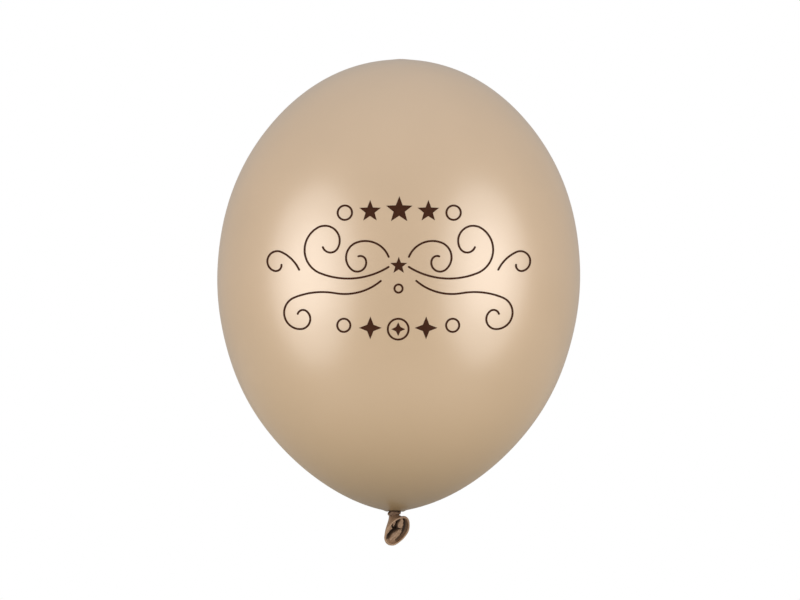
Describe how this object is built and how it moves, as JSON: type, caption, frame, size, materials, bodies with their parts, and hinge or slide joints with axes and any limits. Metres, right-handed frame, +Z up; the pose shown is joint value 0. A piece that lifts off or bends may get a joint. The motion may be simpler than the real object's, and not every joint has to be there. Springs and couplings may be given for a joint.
{
  "type": "latex balloon",
  "caption": "Inflated pear-shaped latex party balloon, knotted at the neck, with a flared tail and a printed scroll ornament.",
  "frame": {"origin": "centre of the pinch between the envelope and its knot, where a ribbon is tied", "axes": "+Z up from the knot to the crown, -Y towards the printed front, +X to the viewer's right"},
  "size_m": [0.3001, 0.3002, 0.4023],
  "materials": {
    "latex_film": "satin",
    "latex_gathered": "matte",
    "ink": "satin"
  },
  "bodies": {
    "envelope": {"envelope_skin": "latex_film", "neck_gather": "latex_gathered", "print_top_row": "ink", "print_scroll_left": "ink", "print_scroll_right": "ink", "print_centre": "ink", "print_bottom_row": "ink"},
    "knot": {"knot_strand": "latex_gathered", "knot_coil": "latex_gathered", "knot_crossing": "latex_gathered"},
    "tail_root": {"tail_root": "latex_gathered"},
    "tail": {"tail_skirt": "latex_gathered", "rim_bead": "latex_gathered"}
  },
  "joints": [
    {"name": "knot_twist", "type": "hinge", "parent": "envelope", "child": "knot", "pos_m": [0, 0, 0], "axis": [0, 0, 1], "range_deg": [-60, 60], "stiffness_Nm_per_rad": 0.001},
    {"name": "tail_swing_side", "type": "hinge", "parent": "knot", "child": "tail_root", "pos_m": [0, 0, -0.0035], "axis": [0, 1, 0], "range_deg": [-10, 20], "stiffness_Nm_per_rad": 0.001},
    {"name": "tail_swing_front", "type": "hinge", "parent": "tail_root", "child": "tail", "pos_m": [0, 0, -0.0035], "axis": [1, 0, 0], "range_deg": [-20, 25], "stiffness_Nm_per_rad": 0.001}
  ]
}
